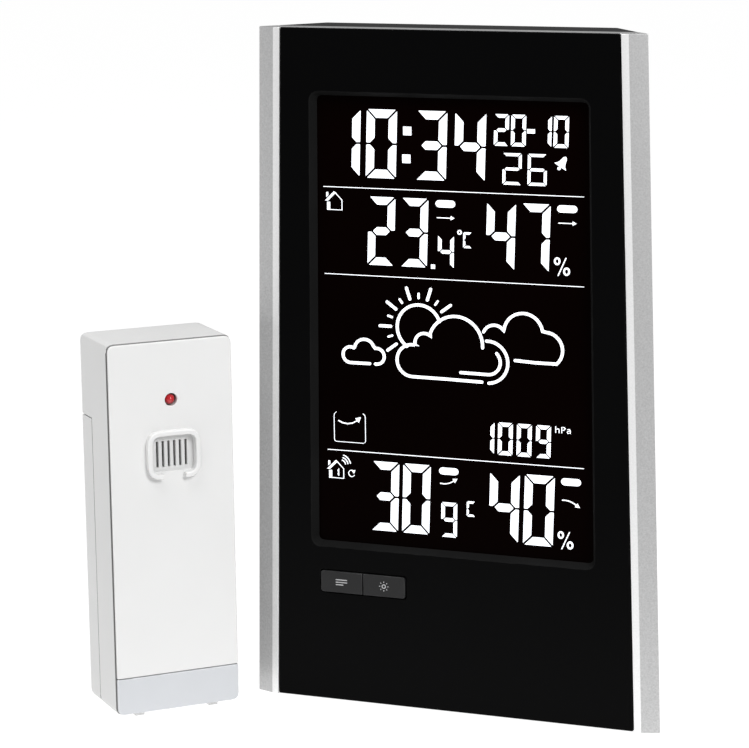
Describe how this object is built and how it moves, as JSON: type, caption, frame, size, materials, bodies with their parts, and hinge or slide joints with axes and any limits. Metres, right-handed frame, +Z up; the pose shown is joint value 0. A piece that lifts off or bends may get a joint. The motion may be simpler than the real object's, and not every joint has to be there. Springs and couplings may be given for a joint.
{
  "type": "home weather station",
  "caption": "Upright display unit with a tall lit screen, two front keys and a fold-out rear stand, beside its small cordless outdoor sensor.",
  "frame": {"origin": "on the table at the middle of the area that the whole station covers, the open stand and the sensor included", "axes": "+Z up; the display faces -Y; +X to the viewer's right; the sensor stands at the left, turned 46 degrees about Z"},
  "size_m": [0.1696, 0.1096, 0.2],
  "materials": {
    "silver_paint": "fine metallic silver paint, satin",
    "gloss_black": "polished piano black",
    "matt_black": "fine spark-eroded texture, matt",
    "front_key_grey": "satin dark grey",
    "rear_key_grey": "soft matt",
    "display_glass": "clear, smooth, dark behind",
    "display_light": "clear light guide on white film",
    "display_digits": "lit white segments",
    "inner_white": "plain moulded",
    "connector_rubber": "striped elastomer",
    "circuit_board": "green solder mask",
    "chip_black": "moulded epoxy",
    "switch_knob": "moulded",
    "nickel": "nickel plated",
    "copper_wire": "enamelled wire",
    "screw_steel": "zinc plated",
    "cell_wrap": "printed film sleeve",
    "sensor_white": "fine satin",
    "sensor_trim": "pale silver grey, satin",
    "red_lens": "clear red dome"
  },
  "bodies": {
    "display_unit": {"alarm_buzzer": "chip_black", "battery_1": "cell_wrap", "battery_2": "cell_wrap", "battery_3": "cell_wrap", "battery_contact_left_bridge": "nickel", "battery_contact_minus": "nickel", "battery_contact_plus": "nickel", "battery_contact_right_bridge": "nickel", "case_screw_1": "screw_steel", "case_screw_2": "screw_steel", "case_screw_3": "screw_steel", "case_screw_4": "screw_steel", "climate_sensor": "inner_white", "controller_chip": "chip_black", "display_backlight": "display_light", "display_connector_strip": "connector_rubber", "display_glass": "display_glass", "display_holder": "inner_white", "front_frame": "silver_paint", "front_key_board": "circuit_board", "front_panel": "gloss_black", "left_key_switch": "chip_black", "main_board": "circuit_board", "pressure_sensor": "nickel", "quartz_crystal": "nickel", "rear_case": "matt_black", "rear_key_switch_channel": "chip_black", "rear_key_switch_down": "chip_black", "rear_key_switch_set": "chip_black", "rear_key_switch_up": "chip_black", "receiver_antenna": "copper_wire", "receiver_module": "circuit_board", "right_key_switch": "chip_black"},
    "left_front_key": {"left_front_key": "front_key_grey"},
    "right_front_key": {"right_front_key": "front_key_grey"},
    "rear_key_set": {"rear_key_set": "rear_key_grey"},
    "rear_key_up": {"rear_key_up": "rear_key_grey"},
    "rear_key_down": {"rear_key_down": "rear_key_grey"},
    "rear_key_channel": {"rear_key_channel": "rear_key_grey"},
    "stand": {"stand_bail": "matt_black"},
    "battery_door": {"battery_door": "matt_black"},
    "sensor": {"sensor_antenna": "copper_wire", "sensor_battery_left": "cell_wrap", "sensor_battery_right": "cell_wrap", "sensor_board": "circuit_board", "sensor_contact_bridge": "nickel", "sensor_contact_minus": "nickel", "sensor_contact_plus": "nickel", "sensor_front_cover": "sensor_white", "sensor_led": "red_lens", "sensor_probe": "inner_white", "sensor_radio_module": "nickel", "sensor_screw_1": "screw_steel", "sensor_screw_2": "screw_steel", "sensor_shell": "sensor_white", "sensor_switch_base": "nickel", "sensor_trim_plate": "sensor_trim"},
    "sensor_battery_door": {"sensor_battery_door": "sensor_white"},
    "sensor_channel_switch": {"sensor_channel_switch": "switch_knob"}
  },
  "joints": [
    {"name": "left_front_key_press", "type": "slide", "parent": "display_unit", "child": "left_front_key", "axis": [0, 1, 0], "range_m": [0, 0.0005], "stiffness_N_per_m": 1500, "springref_m": -0.0003},
    {"name": "right_front_key_press", "type": "slide", "parent": "display_unit", "child": "right_front_key", "axis": [0, 1, 0], "range_m": [0, 0.0005], "stiffness_N_per_m": 1500, "springref_m": -0.0003},
    {"name": "rear_key_set_press", "type": "slide", "parent": "display_unit", "child": "rear_key_set", "axis": [0, -1, 0], "range_m": [0, 0.0005], "stiffness_N_per_m": 1500, "springref_m": -0.0003},
    {"name": "rear_key_up_press", "type": "slide", "parent": "display_unit", "child": "rear_key_up", "axis": [0, -1, 0], "range_m": [0, 0.0005], "stiffness_N_per_m": 1500, "springref_m": -0.0003},
    {"name": "rear_key_down_press", "type": "slide", "parent": "display_unit", "child": "rear_key_down", "axis": [0, -1, 0], "range_m": [0, 0.0005], "stiffness_N_per_m": 1500, "springref_m": -0.0003},
    {"name": "rear_key_channel_press", "type": "slide", "parent": "display_unit", "child": "rear_key_channel", "axis": [0, -1, 0], "range_m": [0, 0.0005], "stiffness_N_per_m": 1500, "springref_m": -0.0003},
    {"name": "stand_fold", "type": "hinge", "parent": "display_unit", "child": "stand", "pos_m": [0.02171, 0.00737, 0.0019], "axis": [1, 0, 0], "range_deg": [0, 90]},
    {"name": "battery_door_off", "type": "slide", "parent": "display_unit", "child": "battery_door", "axis": [0, 1, 0], "range_m": [0, 0.03]},
    {"name": "sensor_lift", "type": "slide", "parent": "display_unit", "child": "sensor", "axis": [0, 0, 1], "range_m": [0, 0.15]},
    {"name": "sensor_battery_door_off", "type": "slide", "parent": "sensor", "child": "sensor_battery_door", "axis": [-0.7193, 0.6947, 0], "range_m": [0, 0.03]},
    {"name": "sensor_channel_slide", "type": "slide", "parent": "sensor", "child": "sensor_channel_switch", "axis": [0.6947, 0.7193, 0], "range_m": [0, 0.004]}
  ]
}
